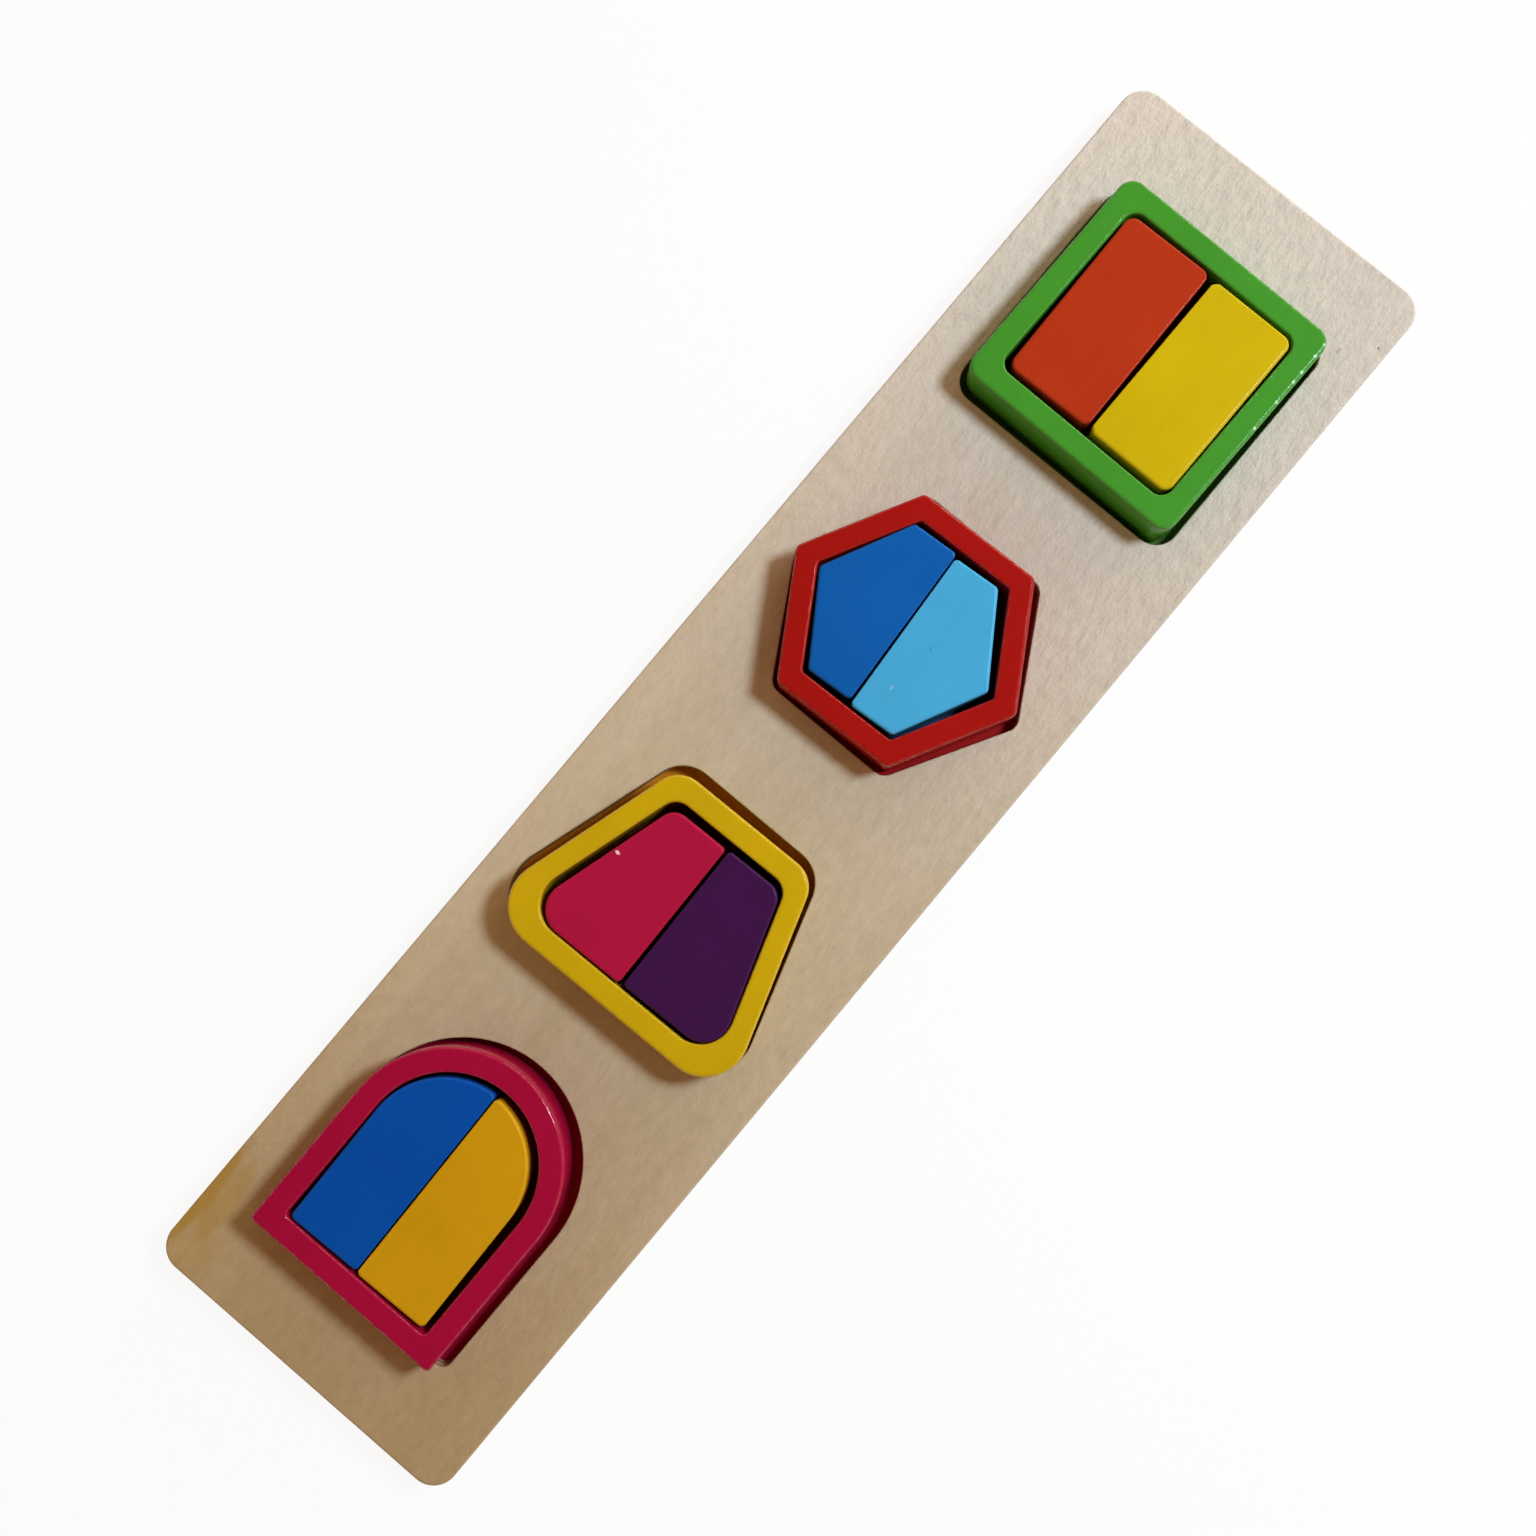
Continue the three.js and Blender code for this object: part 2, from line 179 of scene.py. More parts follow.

# Birch: the places along the board, in millimetres, between which it changes, and how far these stray
# The tone from pale at +X to brown at -X is painted shade, darker towards the end further from the lamp
SHADED_BROWN_TO_WARM = (-215.0, -40.0)
WARM_TO_PALE = (-70.0, 165.0)
SMOOTH_TO_FLUFFY = (-40.0, 150.0)
TONE_STRAY = (-45.0, 45.0)
# What the clouds do to its shade, roughness and height, and the rise in painted shade per millimetre
# across, darker towards -Y where the lamp's light is stronger
FIBRE_SHADE = (-0.09, 0.09)
FLECK_SHADE = (-0.3, 0.3)
BAND_SHADE = (-0.1, 0.1)
PAINTED_SHADE_ACROSS = 0.0012
PORE_FADE = (0.68, 0.8)
PORE_SHADE = 0.05
BIRCH_ROUGHNESS = (0.5, 0.68)
FLUFF_HEIGHT = (1.0, 3.4)
FIBRE_HEIGHT = 0.6
PORE_DEPTH = 0.25
BIRCH_RELIEF = 0.22 * MM
BIRCH_SHEEN = 0.3

# The camera, solved from the corners of the board and the painted pieces, in metres and degrees
CAMERA_PLACE = (-0.017113, -0.021604, 0.476585)
CAMERA_TURN = (3.53838, 1.53980, -50.05054)
CAMERA_LENS = 42.1875
CAMERA_SENSOR = 36.0
CAMERA_NEAR = 0.01

# The stage
WHITE = (1, 1, 1, 1)
FLOOR_REACH = 4.0
FLOOR_CUTS = 8
FLOOR_ROUGHNESS = 0.9
FLOOR_MOTTLE = (0.0, 0.08)
# How white the floor looks near the board, and the distances in millimetres over which it turns all white
FLOOR_GLOW = 0.92
FADE_FROM = 500.0
FADE_TO = 2500.0
LAMP_PLACE = (0.53, -0.34, 0.88)
LAMP_ACROSS = 0.23
WINDOW_PLACE = (1.5, -0.1, 0.35)
WINDOW_WIDTH = 1.2
WINDOW_HEIGHT = 0.6
# Heights, as shares of straight up, between which the sky turns from horizon to sky and to overhead, and
# between which the white backdrop ends
SKY_RISE = (0.06, 0.4)
OVERHEAD_RISE = (0.8, 0.95)
BACKDROP_RISE = (0.2, 0.4)


def from_hex(code):
    """A colour as it is mixed, from the hex code that it shows."""

    def linear(share):
        return share / 12.92 if share <= 0.04045 else ((share + 0.055) / 1.055) ** 2.4

    return tuple(linear(int(code[at : at + 2], 16) / 255) for at in (0, 2, 4))


def opaque(colour):
    return (*colour[:3], 1.0)


# Outlines


def wall_outlines(node):
    """The closed outlines along the foot of a CAD node's upright walls, the largest first.

    The wood is on the left of each outline's direction of travel."""
    mesh = frame["nodes"][node].data
    upright = [face for face in mesh.polygons if abs(face.normal.z) < UPRIGHT]
    foot = min(mesh.vertices[i].co.z for face in upright for i in face.vertices)
    following = {}
    for face in upright:
        corners = [mesh.vertices[i].co for i in face.vertices]
        for here, there in zip(corners, corners[1:] + corners[:1]):
            if abs(here.z - foot) < SAME_LEVEL and abs(there.z - foot) < SAME_LEVEL:
                start = (round(here.x, KEY_DIGITS), round(here.y, KEY_DIGITS))
                following[start] = (round(there.x, KEY_DIGITS), round(there.y, KEY_DIGITS))
    outlines = []
    while following:
        start, point = following.popitem()
        outline = [Vector(start)]
        while point != start:
            outline.append(Vector(point))
            point = following.pop(point)
        outlines.append(outline)
    return sorted(outlines, key=outline_area, reverse=True)


def outline_area(outline):
    ahead = outline[1:] + outline[:1]
    return abs(sum(a.x * b.y - b.x * a.y for a, b in zip(outline, ahead))) / 2


def outline_middle(outline):
    return sum(outline, Vector((0, 0))) / len(outline)


def fine_outline(outline, step):
    """The outline as many (point, direction into the wood), with the chords of its arcs rounded again."""
    count = len(outline)
    sides = [outline[(i + 1) % count] - outline[i] for i in range(count)]
    straight = [side.length > SHORTEST_STRAIGHT for side in sides]
    ways = [side.normalized() for side in sides]
    tangents = []
    for i in range(count):
        if straight[i - 1]:
            tangents.append(ways[i - 1])
        elif straight[i]:
            tangents.append(ways[i])
        else:
            tangents.append((ways[i - 1] + ways[i]).normalized())
    fine = []
    for i in range(count):
        start, end = outline[i], outline[(i + 1) % count]
        length = sides[i].length
        cuts = max(ARC_CUTS, math.ceil(length / step))
        for k in range(cuts):
            t = k / cuts
            if straight[i]:
                point, way = start.lerp(end, t), ways[i]
            else:
                point, way = arc_point(start, end, tangents[i], tangents[(i + 1) % count], length, t)
            fine.append((point, Vector((-way.y, way.x))))
    return fine


def arc_point(start, end, leaving, arriving, length, t):
    """The point and the direction of travel at share t of a chord's arc."""
    out, back = leaving * length, arriving * length
    point = (
        start * (2 * t**3 - 3 * t**2 + 1)
        + out * (t**3 - 2 * t**2 + t)
        + end * (3 * t**2 - 2 * t**3)
        + back * (t**3 - t**2)
    )
    way = (
        start * (6 * t**2 - 6 * t)
        + out * (3 * t**2 - 4 * t + 1)
        + end * (6 * t - 6 * t**2)
        + back * (3 * t**2 - 2 * t)
    )
    return point, way.normalized()


# Edge profiles: rows of (level, drop below it, inset), from the foot of a wall to its top


def round_rows(radius, level, upward):
    """A quarter round that ends flat at a level, with a narrow flat rim inside it."""
    side = 1 if upward else -1
    rows = []
    for k in range(ROUND_STEPS + 1):
        turn = math.pi / 2 * k / ROUND_STEPS
        rows.append((level, side * radius * (1 - math.sin(turn)), radius * (1 - math.cos(turn))))
    rows.append((level, 0.0, radius + FLAT_RIM))
    return rows


def wall_rows(low, high, low_radius, high_radius):
    return round_rows(low_radius, low, False)[::-1] + round_rows(high_radius, high, True)


def edge_share(inward, sawn):
    """The share of an edge's full radius, which is less along the sawn side of a half.

    There the wood lies in the direction sawn."""
    share = (inward.dot(sawn) - SAWN_FROM) / (SAWN_TO - SAWN_FROM)
    share = min(max(share, 0.0), 1.0)
    return 1 - (1 - SAWN_SHARE) * share


def sanded(point, inset):
    """An inset as hand sanding leaves it, never proud of the outline."""
    slow = noise.noise(Vector((point.x, point.y, 0)) / SANDING_LENGTH)
    quick = noise.noise(Vector((point.x, point.y, MM)) / RIPPLE_LENGTH)
    return inset * (1 + SANDING_SPREAD * slow) + RIPPLE_DEPTH * (0.5 + 0.5 * quick)


# Meshes


def edges_round(shape, ring):
    """The edges round a closed ring of points, made where they are missing."""
    pairs = zip(ring, ring[1:] + ring[:1])
    return [shape.edges.get(pair) or shape.edges.new(pair) for pair in pairs]


def fill(shape, edges, finish=0):
    """Fills the flat between closed rings of edges, in one of the piece's finishes."""
    made = bmesh.ops.triangle_fill(shape, use_beauty=True, edges=edges)["geom"]
    faces = [part for part in made if isinstance(part, bmesh.types.BMFace)]
    for face in faces:
        face.material_index = finish
    return faces


def fill_floors(shape, rim, level, floors):
    """Fills the back's upper face: bare under the deck, painted to match the pieces in each recess."""
    bare = list(rim)
    finish = 1
    for recess, opening, split in floors:
        outer = edges_round(shape, [shape.verts.new((at.x, at.y, level)) for at in recess])
        inner = edges_round(shape, [shape.verts.new((at.x, at.y, level)) for at in opening])
        bare += outer
        fill(shape, outer + inner, finish)
        middle = fill(shape, inner, finish + 1)
        parts = {part for face in middle for part in (*face.verts, *face.edges)}
        ordered = [part for part in (*shape.verts, *shape.edges) if part in parts] + middle
        bmesh.ops.bisect_plane(shape, geom=ordered, plane_co=(0, split, level), plane_no=(0, 1, 0))
        for face in shape.faces:
            if face.material_index == finish + 1 and face.calc_center_median().y < split:
                face.material_index = finish + 2
        finish += len(RECESSES[0])
    fill(shape, bare)


def loft(name, walls, floors=(), sawn=NOT_SAWN):
    """A closed mesh whose walls follow profiles round outlines, capped flat at both ends."""
    shape = bmesh.new()
    rims = ([], [])
    for outline, rows in walls:
        rings = []
        for level, drop, inset in rows:
            ring = []
            for point, inward in outline:
                share = edge_share(inward, sawn)
                place = point + inward * sanded(point, inset * share)
                ring.append(shape.verts.new((place.x, place.y, level - drop * share)))
            rings.append(ring)
        for lower, upper in zip(rings, rings[1:]):
            for i in range(len(outline)):
                j = (i + 1) % len(outline)
                shape.faces.new((lower[i], lower[j], upper[j], upper[i]))
        for rim, ring in zip(rims, (rings[0], rings[-1])):
            rim.extend(edges_round(shape, ring))
    fill(shape, rims[0])
    if floors:
        fill_floors(shape, rims[1], rings[-1][0].co.z, floors)
    else:
        fill(shape, rims[1])
    bmesh.ops.recalc_face_normals(shape, faces=shape.faces)
    mesh = bpy.data.meshes.new(name)
    shape.to_mesh(mesh)
    shape.free()
    for face in mesh.polygons:
        face.use_smooth = True
    piece = bpy.data.objects.new(name, mesh)
    bpy.context.scene.collection.objects.link(piece)
    return piece


def body_of(node):
    for body, members in frame["record"]["behaviour"]["bodies"].items():
        if node in members:
            return body
    raise RuntimeError(f"no body holds {node}")


def slot_of(node):
    for part in frame["record"]["subparts"]:
        if part["node"] == node:
            return part["material_slot"]
    raise RuntimeError(f"no material slot for {node}")


def settle(piece, node, *finishes):
    """Gives a piece its finishes and its body, and hides the CAD node that it stands for."""
    for finish in finishes:
        piece.data.materials.append(finish)
    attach(piece, body_of(node))
    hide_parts(node)


# Node helpers


def put(tree, kind, inputs=None, **settings):
    """A new node with its settings, and its inputs set or linked."""
    node = tree.nodes.new(kind)
    for name, value in settings.items():
        setattr(node, name, value)
    for name, value in (inputs or {}).items():
        if isinstance(value, NodeSocket):
            tree.links.new(value, node.inputs[name])
        else:
            node.inputs[name].default_value = value
    return node


def calc(tree, operation, first, second=0.0):
    return put(tree, "ShaderNodeMath", {0: first, 1: second}, operation=operation).outputs[0]


def ease(tree, value, low, high):
    """A smooth step from 0 at low to 1 at high."""
    inputs = {"Value": value, "From Min": low, "From Max": high}
    return put(tree, "ShaderNodeMapRange", inputs, interpolation_type="SMOOTHSTEP").outputs["Result"]


def remap(tree, value, low, high):
    """A share from 0 to 1 spread over low to high."""
    inputs = {"Value": value, "To Min": low, "To Max": high}
    return put(tree, "ShaderNodeMapRange", inputs).outputs["Result"]


# A mix node's sockets share their names, so they go by number: the share, the first and the second input
NUMBER_MIX = (0, 2, 3)
COLOUR_MIX = (0, 6, 7)
MIXED_NUMBER = 0
MIXED_COLOUR = 2


def blend_numbers(tree, share, first, second):
    """The first number where the share is 0, and the second where it is 1."""
    inputs = dict(zip(NUMBER_MIX, (share, first, second)))
    return put(tree, "ShaderNodeMix", inputs).outputs[MIXED_NUMBER]


def blend_colours(tree, share, first, second):
    """The first colour where the share is 0, and the second where it is 1."""
    inputs = dict(zip(COLOUR_MIX, (share, first, second)))
    return put(tree, "ShaderNodeMix", inputs, data_type="RGBA").outputs[MIXED_COLOUR]


def scaled(tree, vector, scale):
    """A vector or a colour times a number."""
    return put(tree, "ShaderNodeVectorMath", {0: vector, "Scale": scale}, operation="SCALE").outputs[0]


def cloud(tree, place, stretch, detail, roughness):
    """Soft noise over a place, stretched by cycles per unit of it each way."""
    wide = put(tree, "ShaderNodeVectorMath", {0: place, 1: stretch}, operation="MULTIPLY").outputs[0]
    inputs = {"Vector": wide, "Scale": 1.0, "Detail": detail, "Roughness": roughness}
    return put(tree, "ShaderNodeTexNoise", inputs).outputs["Fac"]


def place_in_mm(tree):
    """The place on the board in millimetres, which a piece carries along when it is lifted."""
    return scaled(tree, put(tree, "ShaderNodeTexCoord").outputs["Object"], 1 / MM)


def group(name, inputs, outputs):
    """An empty node group with named sockets, and its two end nodes."""
    tree = bpy.data.node_groups.new(name, "ShaderNodeTree")
    for label, kind, default in inputs:
        socket = tree.interface.new_socket(name=label, in_out="INPUT", socket_type=kind)
        socket.default_value = default
    for label, kind in outputs:
        tree.interface.new_socket(name=label, in_out="OUTPUT", socket_type=kind)
    return tree, tree.nodes.new("NodeGroupInput").outputs, tree.nodes.new("NodeGroupOutput").inputs


def use(tree, name, inputs=None):
    return put(tree, "ShaderNodeGroup", inputs, node_tree=bpy.data.node_groups[name]).outputs


# Kinds of sockets
COLOUR = "NodeSocketColor"
NUMBER = "NodeSocketFloat"
PLACE = "NodeSocketVector"


# Shared effects, built once


def facing_group():
    """Where the surface is a wall, and where it is a rounded edge between a wall and a flat."""
    if "facing" in bpy.data.node_groups:
        return
    tree, _, out = group("facing", (), (("Wall", NUMBER), ("Edge", NUMBER)))
    coordinate = put(tree, "ShaderNodeTexCoord")
    normal = put(tree, "ShaderNodeSeparateXYZ", {0: coordinate.outputs["Normal"]})
    upward = calc(tree, "ABSOLUTE", normal.outputs["Z"])
    flat = ease(tree, upward, *FLAT_RANGE)
    wall = ease(tree, upward, *WALL_RANGE)
    neither = calc(tree, "SUBTRACT", calc(tree, "SUBTRACT", 1.0, flat), wall)
    tree.links.new(wall, out["Wall"])
    tree.links.new(calc(tree, "MAXIMUM", neither), out["Edge"])


def mark_group():
    """A small mark with a ragged rim round one place."""
    if "small mark" in bpy.data.node_groups:
        return
    inputs = (("Place", PLACE, (0, 0, 0)), ("Reach", PLACE, (1, 1, 1)), ("Strength", NUMBER, 1.0))
    tree, given, out = group("small mark", inputs, (("Mask", NUMBER),))
    here = place_in_mm(tree)
    apart = put(tree, "ShaderNodeVectorMath", {0: here, 1: given["Place"]}, operation="SUBTRACT").outputs[0]
    share = put(tree, "ShaderNodeVectorMath", {0: apart, 1: given["Reach"]}, operation="DIVIDE").outputs[0]
    ragged = remap(tree, cloud(tree, share, *RAGGED_RIM), *RIM_STRAY)
    length = put(tree, "ShaderNodeVectorMath", {0: share}, operation="LENGTH").outputs["Value"]
    mask = ease(tree, calc(tree, "MULTIPLY", length, ragged), *RIM_FADE)
    tree.links.new(calc(tree, "MULTIPLY", mask, given["Strength"]), out["Mask"])


def paint_group():
    """Satin paint on sanded wood: faint mottling, the grain under it, and beads and nicks on the edges."""
    if "satin paint" in bpy.data.node_groups:
        return
    inputs = (
        ("Paint", COLOUR, (0.5, 0.5, 0.5, 1)),
        ("Bare", COLOUR, (0.6, 0.5, 0.35, 1)),
        ("Wear", NUMBER, 0.5),
        ("Satin", NUMBER, 0.4),
        ("Beads", NUMBER, 0.0),
        ("Haze", NUMBER, 0.1),
        ("Glint", NUMBER, 0.5),
    )
    outputs = (("Colour", COLOUR), ("Roughness", NUMBER), ("Height", NUMBER), ("Coat", NUMBER))
    tree, given, out = group("satin paint", inputs, outputs)
    here = place_in_mm(tree)
    facing = use(tree, "facing")
    patches = cloud(tree, here, *PATCHES)
    peel = cloud(tree, here, *PEEL)
    grain = cloud(tree, here, *HIDDEN_GRAIN)
    shade = calc(tree, "ADD", remap(tree, patches, *PATCH_SHADE), remap(tree, grain, *GRAIN_SHADE))
    mottled = scaled(tree, given["Paint"], shade)
    nicks = cloud(tree, here, *NICKS)
    thin = calc(tree, "MULTIPLY", facing["Edge"], remap(tree, nicks, *THIN_SHARE))
    thinned = blend_colours(tree, calc(tree, "MULTIPLY", thin, given["Wear"]), mottled, given["Bare"])
    worn = calc(tree, "MULTIPLY", ease(tree, nicks, *NICK_FADE), facing["Edge"])
    chipped = blend_colours(tree, calc(tree, "MULTIPLY", worn, given["Wear"]), thinned, given["Bare"])
    rough = calc(tree, "ADD", given["Satin"], remap(tree, peel, *PEEL_ROUGHNESS))
    rough = calc(tree, "ADD", rough, calc(tree, "MULTIPLY", facing["Edge"], given["Haze"]))
    ridges = calc(tree, "MULTIPLY", grain, GRAIN_HEIGHT)
    relief = calc(tree, "ADD", ridges, calc(tree, "MULTIPLY", peel, PEEL_HEIGHT))
    beads = cloud(tree, here, *BEADING)
    beaded = calc(tree, "MULTIPLY", calc(tree, "MULTIPLY", beads, facing["Edge"]), given["Beads"])
    dents = calc(tree, "MULTIPLY", worn, NICK_DEPTH)
    dented = calc(tree, "SUBTRACT", calc(tree, "ADD", relief, beaded), dents)
    drops = ease(tree, cloud(tree, here, *DROPS), *DROP_FADE)
    glint = calc(tree, "MULTIPLY", calc(tree, "MULTIPLY", drops, facing["Edge"]), given["Glint"])
    tree.links.new(chipped, out["Colour"])
    tree.links.new(rough, out["Roughness"])
    tree.links.new(dented, out["Height"])
    tree.links.new(glint, out["Coat"])


def ply_group():
    """Veneers of plywood in layers up a wall, light and dark by turns."""
    if "ply layers" in bpy.data.node_groups:
        return
    inputs = (
        ("Light", COLOUR, (0.6, 0.5, 0.3, 1)),
        ("Dark", COLOUR, (0.3, 0.2, 0.1, 1)),
        ("Layer", NUMBER, 1.5),
    )
    tree, given, out = group("ply layers", inputs, (("Colour", COLOUR), ("Height", NUMBER)))
    here = place_in_mm(tree)
    level = put(tree, "ShaderNodeSeparateXYZ", {0: here}).outputs["Z"]
    wander = remap(tree, cloud(tree, here, *PLY_WAVES), *LAYER_WANDER)
    turn = calc(tree, "DIVIDE", calc(tree, "ADD", level, wander), given["Layer"])
    wave = calc(tree, "SINE", calc(tree, "MULTIPLY", turn, math.pi))
    dark = ease(tree, wave, *LAYER_FADE)
    fibres = cloud(tree, here, *PLY_FIBRES)
    veneer = blend_colours(tree, dark, given["Light"], given["Dark"])
    tinted = blend_colours(tree, remap(tree, fibres, *FIBRE_TINT), veneer, given["Dark"])
    relief = calc(tree, "ADD", fibres, calc(tree, "MULTIPLY", dark, DARK_HEIGHT))
    tree.links.new(tinted, out["Colour"])
    tree.links.new(relief, out["Height"])


def birch_group():
    """A sanded birch face: fine fibres along the board, soft flecks and a change of tone end to end,
    painted shade that is browner towards -X and darker towards -Y.
    """
    if "sanded birch" in bpy.data.node_groups:
        return
    inputs = (
        ("Pale", COLOUR, (0.6, 0.5, 0.4, 1)),
        ("Warm", COLOUR, (0.5, 0.4, 0.25, 1)),
        ("Toasted", COLOUR, (0.4, 0.25, 0.1, 1)),
        ("Grain", NUMBER, 0.5),
    )
    outputs = (("Colour", COLOUR), ("Roughness", NUMBER), ("Height", NUMBER))
    tree, given, out = group("sanded birch", inputs, outputs)
    here = place_in_mm(tree)
    place = put(tree, "ShaderNodeSeparateXYZ", {0: here}).outputs
    bands = cloud(tree, here, *BANDS)
    fibres = cloud(tree, here, *FIBRES)
    flecks = cloud(tree, here, *FLECKS)
    strayed = calc(tree, "ADD", place["X"], remap(tree, bands, *TONE_STRAY))
    # Painted shade: the tone goes from pale at +X to brown at -X
    first = blend_colours(tree, ease(tree, strayed, *SHADED_BROWN_TO_WARM), given["Toasted"], given["Warm"])
    tone = blend_colours(tree, ease(tree, strayed, *WARM_TO_PALE), first, given["Pale"])
    blotches = calc(tree, "ADD", remap(tree, flecks, *FLECK_SHADE), remap(tree, bands, *BAND_SHADE))
    swing = calc(tree, "ADD", remap(tree, fibres, *FIBRE_SHADE), blotches)
    # Painted shade: darker towards -Y, evening out the lamp's stronger light on that side
    painted_shade_drift = calc(tree, "MULTIPLY", place["Y"], PAINTED_SHADE_ACROSS)
    shade = calc(tree, "ADD", calc(tree, "ADD", 1.0, painted_shade_drift), calc(tree, "MULTIPLY", swing, given["Grain"]))
    shaded = scaled(tree, tone, shade)
    pores = ease(tree, cloud(tree, here, *PORES), *PORE_FADE)
    pored = blend_colours(tree, calc(tree, "MULTIPLY", pores, PORE_SHADE), shaded, given["Toasted"])
    fluff = cloud(tree, here, *FLUFF)
    fluffy = remap(tree, ease(tree, strayed, *SMOOTH_TO_FLUFFY), *FLUFF_HEIGHT)
    lifted = calc(tree, "MULTIPLY", fluff, fluffy)
    relief = calc(tree, "ADD", calc(tree, "MULTIPLY", fibres, FIBRE_HEIGHT), lifted)
    pitted = calc(tree, "SUBTRACT", relief, calc(tree, "MULTIPLY", pores, PORE_DEPTH))
    tree.links.new(pored, out["Colour"])
    tree.links.new(remap(tree, flecks, *BIRCH_ROUGHNESS), out["Roughness"])
    tree.links.new(pitted, out["Height"])


# Materials


def fresh_material(name):
    """A new material, its nodes and its shader, which is joined to the output."""
    material = bpy.data.materials.new(name)
    material.use_nodes = True
    tree = material.node_tree
    tree.nodes.clear()
    shader = put(tree, "ShaderNodeBsdfPrincipled")
    ending = put(tree, "ShaderNodeOutputMaterial")
    tree.links.new(shader.outputs[0], ending.inputs["Surface"])
    return material, tree, shader


def marked(tree, colour, marks, level, settings):
    """A colour with small marks on it, at a level in millimetres."""
    for (along, across), (length, width), strength, tone in marks:
        inputs = {"Place": (along, across, level), "Reach": (length, width, width), "Strength": strength}
        mask = use(tree, "small mark", inputs)["Mask"]
        colour = blend_colours(tree, mask, colour, opaque(getattr(settings, tone)))
    return colour


def paint_material(slot, finish="satin", tint=(1.0, 1.0, 1.0)):
    """Satin paint in one of the record's slots, or a rougher floor of it tinted with painted shade."""
    settings = bpy.context.scene.matching_board_paint
    facing_group()
    mark_group()
    paint_group()
    material, tree, shader = fresh_material(f"{finish}_{slot}")
    on_frame = slot in map(slot_of, FRAMES)
    inputs = {
        "Paint": opaque([a * b for a, b in zip(getattr(settings, slot), tint)]),
        "Bare": opaque(settings.bare_wood),
        "Wear": settings.wear,
        "Satin": getattr(settings, finish),
        **(FRAME_EDGES if on_frame else HALF_EDGES),
    }
    paint = use(tree, "satin paint", inputs)
    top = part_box(FRAMES[0])[1].z / MM
    colour = marked(tree, paint["Colour"], PAINT_MARKS.get(slot, ()), top, settings)
    tree.links.new(colour, shader.inputs["Base Color"])
    tree.links.new(paint["Roughness"], shader.inputs["Roughness"])
    tree.links.new(paint["Coat"], shader.inputs["Coat Weight"])
    shader.inputs["Coat Roughness"].default_value = GLINT_ROUGHNESS
    bump = put(tree, "ShaderNodeBump", {"Height": paint["Height"], "Distance": PAINT_RELIEF})
    tree.links.new(bump.outputs[0], shader.inputs["Normal"])
    sheen = settings.frame_sheen if on_frame else settings.half_sheen
    shader.inputs["Specular IOR Level"].default_value = sheen
    return material


def birch_material(slot, pale, warm, toasted, marks):
    """Sanded birch faces with the layers of the plywood on the walls."""
    settings = bpy.context.scene.matching_board_wood
    facing_group()
    mark_group()
    birch_group()
    ply_group()
    material, tree, shader = fresh_material(f"sanded_{slot}")
    inputs = {
        "Pale": opaque(pale),
        "Warm": opaque(warm),
        "Toasted": opaque(toasted),
        "Grain": settings.grain,
    }
    face = use(tree, "sanded birch", inputs)
    inputs = {"Light": opaque(warm), "Dark": opaque(settings.core), "Layer": settings.veneer / MM}
    layers = use(tree, "ply layers", inputs)
    facing = use(tree, "facing")
    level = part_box(DECK)[1].z / MM
    deck = marked(tree, face["Colour"], marks, level, settings)
    colour = blend_colours(tree, facing["Wall"], deck, layers["Colour"])
    tree.links.new(colour, shader.inputs["Base Color"])
    tree.links.new(face["Roughness"], shader.inputs["Roughness"])
    height = blend_numbers(tree, facing["Wall"], face["Height"], layers["Height"])
    bump = put(tree, "ShaderNodeBump", {"Height": height, "Distance": BIRCH_RELIEF})
    tree.links.new(bump.outputs[0], shader.inputs["Normal"])
    shader.inputs["Specular IOR Level"].default_value = BIRCH_SHEEN
    return material


# Settings


def swatch(label, code):
    """A colour property that starts as a hex code."""
    return FloatVectorProperty(
        name=label,
        description=f"Colour of the {label.lower()}",
        subtype="COLOR",
        size=3,
        min=0.0,
        max=1.0,
        default=from_hex(code),
    )


def share_property(label, words, start):
    return FloatProperty(name=label, description=words, subtype="FACTOR", min=0.0, max=1.0, default=start)


def power_property(label, words, start):
    return FloatProperty(name=label, description=words, unit="POWER", min=0.0, default=start)


def length_property(label, words, start):
    return FloatProperty(name=label, description=words, unit="LENGTH", min=0.0, default=start, precision=5)


class MatchingBoardWood(PropertyGroup):
    """Sizes and colours of the bare birch board."""

    pale: swatch("Pale birch", "C9BEB0")
    warm: swatch("Warm birch", "BEAC8E")
    # Painted shade: the birch at the -X end, darker and browner
    toasted: swatch("Toasted birch", "B0976E")
    back: swatch("Back birch", "B59A72")
    core: swatch("Ply core", "A28255")
    knot: swatch("Pin knots", "7A5630")
    stain: swatch("Oil stain", "A9822F")
    grain: share_property("Grain", "How strongly the grain shows", 0.5)
    board_round: length_property("Board edge round", "Radius of the board's outer edges", 0.75 * MM)
    cutout_ease: length_property("Cut-out ease", "Radius sanded on the rims of the recesses", 0.4 * MM)
    veneer: length_property("Veneer", "Thickness of one layer of the plywood", 1.3 * MM)


